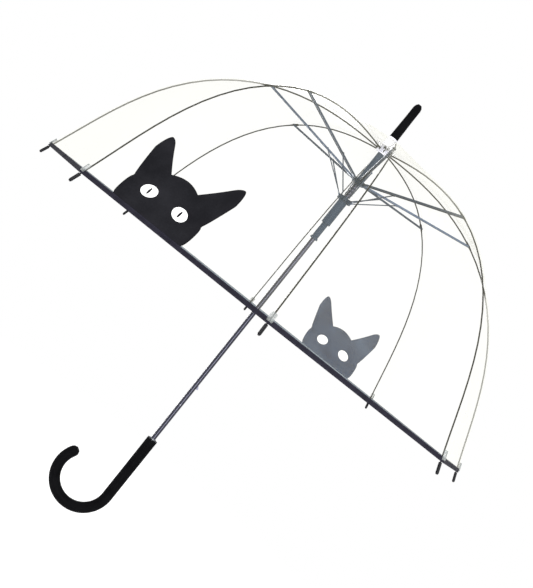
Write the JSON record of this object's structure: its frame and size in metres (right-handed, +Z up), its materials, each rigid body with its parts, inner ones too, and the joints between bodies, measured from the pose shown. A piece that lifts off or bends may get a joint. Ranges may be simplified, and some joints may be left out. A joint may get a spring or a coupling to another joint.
{
  "type": "clear bubble umbrella",
  "caption": "Clear deep-dome umbrella with a dark bound hem, a self-opening wire-rib frame, a slim steel shaft and a black crook handle.",
  "frame": {"origin": "centre of the handle's top face, where the shaft enters it", "axes": "+Z up the shaft to the ferrule, -X the way the hook opens, ribs at multiples of 45 degrees from +X"},
  "size_m": [0.866, 0.866, 0.8727],
  "materials": {
    "shaft_steel": "polished nickel-plated steel tube",
    "black_plastic": "matt black moulded plastic",
    "white_plastic": "milky white plastic",
    "frame_steel": "blue-grey coated steel",
    "rib_wire": "dark coated spring wire",
    "runner_plastic": "blue-grey moulded plastic",
    "spring_steel": "bright spring wire",
    "clear_film": "clear soft vinyl film",
    "hem_tape": "black binding tape welded over the film's edge",
    "cat_print": "opaque black and white print on the film"
  },
  "bodies": {
    "shaft": {"shaft_tube": "shaft_steel", "handle": "black_plastic", "handle_collar": "white_plastic", "ferrule": "black_plastic", "crown_cap": "white_plastic", "top_notch": "white_plastic", "stop_sleeve": "runner_plastic", "catch_pin": "frame_steel"},
    "rib_inner_1": {"rib_inner_1": "rib_wire"},
    "rib_outer_1": {"rib_outer_1": "rib_wire", "canopy_1": "clear_film", "tip_1": "black_plastic"},
    "strut_1": {"strut_1": "frame_steel"},
    "rib_inner_2": {"rib_inner_2": "rib_wire"},
    "rib_outer_2": {"rib_outer_2": "rib_wire", "canopy_2": "clear_film", "tip_2": "black_plastic"},
    "strut_2": {"strut_2": "frame_steel"},
    "rib_inner_3": {"rib_inner_3": "rib_wire"},
    "rib_outer_3": {"rib_outer_3": "rib_wire", "canopy_3": "clear_film", "tip_3": "black_plastic"},
    "strut_3": {"strut_3": "frame_steel"},
    "rib_inner_4": {"rib_inner_4": "rib_wire"},
    "rib_outer_4": {"rib_outer_4": "rib_wire", "canopy_4": "clear_film", "tip_4": "black_plastic"},
    "strut_4": {"strut_4": "frame_steel"},
    "rib_inner_5": {"rib_inner_5": "rib_wire"},
    "rib_outer_5": {"rib_outer_5": "rib_wire", "canopy_5": "clear_film", "tip_5": "black_plastic"},
    "strut_5": {"strut_5": "frame_steel"},
    "rib_inner_6": {"rib_inner_6": "rib_wire"},
    "rib_outer_6": {"rib_outer_6": "rib_wire", "canopy_6": "clear_film", "tip_6": "black_plastic"},
    "strut_6": {"strut_6": "frame_steel"},
    "rib_inner_7": {"rib_inner_7": "rib_wire"},
    "rib_outer_7": {"rib_outer_7": "rib_wire", "canopy_7": "clear_film", "tip_7": "black_plastic"},
    "strut_7": {"strut_7": "frame_steel"},
    "rib_inner_8": {"rib_inner_8": "rib_wire"},
    "rib_outer_8": {"rib_outer_8": "rib_wire", "canopy_8": "clear_film", "tip_8": "black_plastic"},
    "strut_8": {"strut_8": "frame_steel"},
    "upper_runner": {"upper_runner": "runner_plastic", "opening_spring": "spring_steel"},
    "lower_runner": {"lower_runner": "runner_plastic"},
    "link_1": {"link_1": "frame_steel"},
    "link_2": {"link_2": "frame_steel"},
    "link_3": {"link_3": "frame_steel"},
    "link_4": {"link_4": "frame_steel"},
    "link_5": {"link_5": "frame_steel"},
    "link_6": {"link_6": "frame_steel"},
    "link_7": {"link_7": "frame_steel"},
    "link_8": {"link_8": "frame_steel"},
    "catch": {"catch": "frame_steel"}
  },
  "joints": [
    {"name": "rib_1_fold", "type": "hinge", "parent": "shaft", "child": "rib_inner_1", "pos_m": [0.009, 0, 0.601], "axis": [0, 1, 0], "range_deg": [0, 72.89], "stiffness_Nm_per_rad": 1, "springref_deg": -171.89},
    {"name": "rib_2_fold", "type": "hinge", "parent": "shaft", "child": "rib_inner_2", "pos_m": [0.00636, 0.00636, 0.601], "axis": [-0.7071, 0.7071, 0], "range_deg": [0, 72.94]},
    {"name": "rib_3_fold", "type": "hinge", "parent": "shaft", "child": "rib_inner_3", "pos_m": [0, 0.009, 0.601], "axis": [-1, 0, 0], "range_deg": [0, 72.94]},
    {"name": "rib_4_fold", "type": "hinge", "parent": "shaft", "child": "rib_inner_4", "pos_m": [-0.00636, 0.00636, 0.601], "axis": [-0.7071, -0.7071, 0], "range_deg": [0, 72.94]},
    {"name": "rib_5_fold", "type": "hinge", "parent": "shaft", "child": "rib_inner_5", "pos_m": [-0.009, 0, 0.601], "axis": [0, -1, 0], "range_deg": [0, 72.94]},
    {"name": "rib_6_fold", "type": "hinge", "parent": "shaft", "child": "rib_inner_6", "pos_m": [-0.00636, -0.00636, 0.601], "axis": [0.7071, -0.7071, 0], "range_deg": [0, 72.94]},
    {"name": "rib_7_fold", "type": "hinge", "parent": "shaft", "child": "rib_inner_7", "pos_m": [0, -0.009, 0.601], "axis": [1, 0, 0], "range_deg": [0, 72.94]},
    {"name": "rib_8_fold", "type": "hinge", "parent": "shaft", "child": "rib_inner_8", "pos_m": [0.00636, -0.00636, 0.601], "axis": [0.7071, 0.7071, 0], "range_deg": [0, 72.94]},
    {"name": "rib_1_flex", "type": "hinge", "parent": "rib_inner_1", "child": "rib_outer_1", "pos_m": [0.20854, 0, 0.569], "axis": [0, 1, 0], "range_deg": [-43.14, 0], "deforming": ["canopy_1"]},
    {"name": "strut_1_fold", "type": "hinge", "parent": "rib_inner_1", "child": "strut_1", "pos_m": [0.20854, 0, 0.569], "axis": [0, 1, 0], "range_deg": [-145.83, 0]},
    {"name": "rib_2_flex", "type": "hinge", "parent": "rib_inner_2", "child": "rib_outer_2", "pos_m": [0.14746, 0.14746, 0.569], "axis": [-0.7071, 0.7071, 0], "range_deg": [-43.14, 0], "deforming": ["canopy_2"]},
    {"name": "strut_2_fold", "type": "hinge", "parent": "rib_inner_2", "child": "strut_2", "pos_m": [0.14746, 0.14746, 0.569], "axis": [-0.7071, 0.7071, 0], "range_deg": [-145.83, 0]},
    {"name": "rib_3_flex", "type": "hinge", "parent": "rib_inner_3", "child": "rib_outer_3", "pos_m": [0, 0.20854, 0.569], "axis": [-1, 0, 0], "range_deg": [-43.14, 0], "deforming": ["canopy_3"]},
    {"name": "strut_3_fold", "type": "hinge", "parent": "rib_inner_3", "child": "strut_3", "pos_m": [0, 0.20854, 0.569], "axis": [-1, 0, 0], "range_deg": [-145.83, 0]},
    {"name": "rib_4_flex", "type": "hinge", "parent": "rib_inner_4", "child": "rib_outer_4", "pos_m": [-0.14746, 0.14746, 0.569], "axis": [-0.7071, -0.7071, 0], "range_deg": [-43.14, 0], "deforming": ["canopy_4"]},
    {"name": "strut_4_fold", "type": "hinge", "parent": "rib_inner_4", "child": "strut_4", "pos_m": [-0.14746, 0.14746, 0.569], "axis": [-0.7071, -0.7071, 0], "range_deg": [-145.83, 0]},
    {"name": "rib_5_flex", "type": "hinge", "parent": "rib_inner_5", "child": "rib_outer_5", "pos_m": [-0.20854, 0, 0.569], "axis": [0, -1, 0], "range_deg": [-43.14, 0], "deforming": ["canopy_5"]},
    {"name": "strut_5_fold", "type": "hinge", "parent": "rib_inner_5", "child": "strut_5", "pos_m": [-0.20854, 0, 0.569], "axis": [0, -1, 0], "range_deg": [-145.83, 0]},
    {"name": "rib_6_flex", "type": "hinge", "parent": "rib_inner_6", "child": "rib_outer_6", "pos_m": [-0.14746, -0.14746, 0.569], "axis": [0.7071, -0.7071, 0], "range_deg": [-43.14, 0], "deforming": ["canopy_6"]},
    {"name": "strut_6_fold", "type": "hinge", "parent": "rib_inner_6", "child": "strut_6", "pos_m": [-0.14746, -0.14746, 0.569], "axis": [0.7071, -0.7071, 0], "range_deg": [-145.83, 0]},
    {"name": "rib_7_flex", "type": "hinge", "parent": "rib_inner_7", "child": "rib_outer_7", "pos_m": [0, -0.20854, 0.569], "axis": [1, 0, 0], "range_deg": [-43.14, 0], "deforming": ["canopy_7"]},
    {"name": "strut_7_fold", "type": "hinge", "parent": "rib_inner_7", "child": "strut_7", "pos_m": [0, -0.20854, 0.569], "axis": [1, 0, 0], "range_deg": [-145.83, 0]},
    {"name": "rib_8_flex", "type": "hinge", "parent": "rib_inner_8", "child": "rib_outer_8", "pos_m": [0.14746, -0.14746, 0.569], "axis": [0.7071, 0.7071, 0], "range_deg": [-43.14, 0], "deforming": ["canopy_8"]},
    {"name": "strut_8_fold", "type": "hinge", "parent": "rib_inner_8", "child": "strut_8", "pos_m": [0.14746, -0.14746, 0.569], "axis": [0.7071, 0.7071, 0], "range_deg": [-145.83, 0]},
    {"name": "upper_runner_hinge", "type": "hinge", "parent": "strut_1", "child": "upper_runner", "pos_m": [0.009, 0, 0.53699], "axis": [0, 1, 0], "range_deg": [0, 72.94]},
    {"name": "lower_runner_slide", "type": "slide", "parent": "upper_runner", "child": "lower_runner", "axis": [0, 0, 1], "range_m": [0, 0.02343], "deforming": ["opening_spring"]},
    {"name": "link_1_fold", "type": "hinge", "parent": "lower_runner", "child": "link_1", "pos_m": [0.0105, 0, 0.5], "axis": [0, 1, 0], "range_deg": [-47.81, 0]},
    {"name": "link_2_fold", "type": "hinge", "parent": "lower_runner", "child": "link_2", "pos_m": [0.00742, 0.00742, 0.5], "axis": [-0.7071, 0.7071, 0], "range_deg": [-47.81, 0]},
    {"name": "link_3_fold", "type": "hinge", "parent": "lower_runner", "child": "link_3", "pos_m": [0, 0.0105, 0.5], "axis": [-1, 0, 0], "range_deg": [-47.81, 0]},
    {"name": "link_4_fold", "type": "hinge", "parent": "lower_runner", "child": "link_4", "pos_m": [-0.00742, 0.00742, 0.5], "axis": [-0.7071, -0.7071, 0], "range_deg": [-47.81, 0]},
    {"name": "link_5_fold", "type": "hinge", "parent": "lower_runner", "child": "link_5", "pos_m": [-0.0105, 0, 0.5], "axis": [0, -1, 0], "range_deg": [-47.81, 0]},
    {"name": "link_6_fold", "type": "hinge", "parent": "lower_runner", "child": "link_6", "pos_m": [-0.00742, -0.00742, 0.5], "axis": [0.7071, -0.7071, 0], "range_deg": [-47.81, 0]},
    {"name": "link_7_fold", "type": "hinge", "parent": "lower_runner", "child": "link_7", "pos_m": [0, -0.0105, 0.5], "axis": [1, 0, 0], "range_deg": [-47.81, 0]},
    {"name": "link_8_fold", "type": "hinge", "parent": "lower_runner", "child": "link_8", "pos_m": [0.00742, -0.00742, 0.5], "axis": [0.7071, 0.7071, 0], "range_deg": [-47.81, 0]},
    {"name": "catch_press", "type": "hinge", "parent": "shaft", "child": "catch", "pos_m": [0, 0, 0.072], "axis": [0, -1, 0], "range_deg": [0, 4.6], "stiffness_Nm_per_rad": 0.5, "springref_deg": -5.73}
  ],
  "couplings": [
    {"joint": "rib_2_fold", "follows": "rib_1_fold", "ratio": 1},
    {"joint": "rib_3_fold", "follows": "rib_1_fold", "ratio": 1},
    {"joint": "rib_4_fold", "follows": "rib_1_fold", "ratio": 1},
    {"joint": "rib_5_fold", "follows": "rib_1_fold", "ratio": 1},
    {"joint": "rib_6_fold", "follows": "rib_1_fold", "ratio": 1},
    {"joint": "rib_7_fold", "follows": "rib_1_fold", "ratio": 1},
    {"joint": "rib_8_fold", "follows": "rib_1_fold", "ratio": 1},
    {"joint": "rib_1_flex", "follows": "rib_1_fold", "ratio": -0.59106},
    {"joint": "strut_1_fold", "follows": "rib_1_fold", "ratio": -2},
    {"joint": "rib_2_flex", "follows": "rib_1_fold", "ratio": -0.59106},
    {"joint": "strut_2_fold", "follows": "rib_1_fold", "ratio": -2},
    {"joint": "rib_3_flex", "follows": "rib_1_fold", "ratio": -0.59106},
    {"joint": "strut_3_fold", "follows": "rib_1_fold", "ratio": -2},
    {"joint": "rib_4_flex", "follows": "rib_1_fold", "ratio": -0.59106},
    {"joint": "strut_4_fold", "follows": "rib_1_fold", "ratio": -2},
    {"joint": "rib_5_flex", "follows": "rib_1_fold", "ratio": -0.59106},
    {"joint": "strut_5_fold", "follows": "rib_1_fold", "ratio": -2},
    {"joint": "rib_6_flex", "follows": "rib_1_fold", "ratio": -0.59106},
    {"joint": "strut_6_fold", "follows": "rib_1_fold", "ratio": -2},
    {"joint": "rib_7_flex", "follows": "rib_1_fold", "ratio": -0.59106},
    {"joint": "strut_7_fold", "follows": "rib_1_fold", "ratio": -2},
    {"joint": "rib_8_flex", "follows": "rib_1_fold", "ratio": -0.59106},
    {"joint": "strut_8_fold", "follows": "rib_1_fold", "ratio": -2},
    {"joint": "upper_runner_hinge", "follows": "rib_1_fold", "ratio": 1},
    {"joint": "lower_runner_slide", "follows": "rib_1_fold", "m_per_rad": 0.018334},
    {"joint": "link_1_fold", "follows": "rib_1_fold", "ratio": -0.65514},
    {"joint": "link_2_fold", "follows": "rib_1_fold", "ratio": -0.65514},
    {"joint": "link_3_fold", "follows": "rib_1_fold", "ratio": -0.65514},
    {"joint": "link_4_fold", "follows": "rib_1_fold", "ratio": -0.65514},
    {"joint": "link_5_fold", "follows": "rib_1_fold", "ratio": -0.65514},
    {"joint": "link_6_fold", "follows": "rib_1_fold", "ratio": -0.65514},
    {"joint": "link_7_fold", "follows": "rib_1_fold", "ratio": -0.65514},
    {"joint": "link_8_fold", "follows": "rib_1_fold", "ratio": -0.65514}
  ]
}
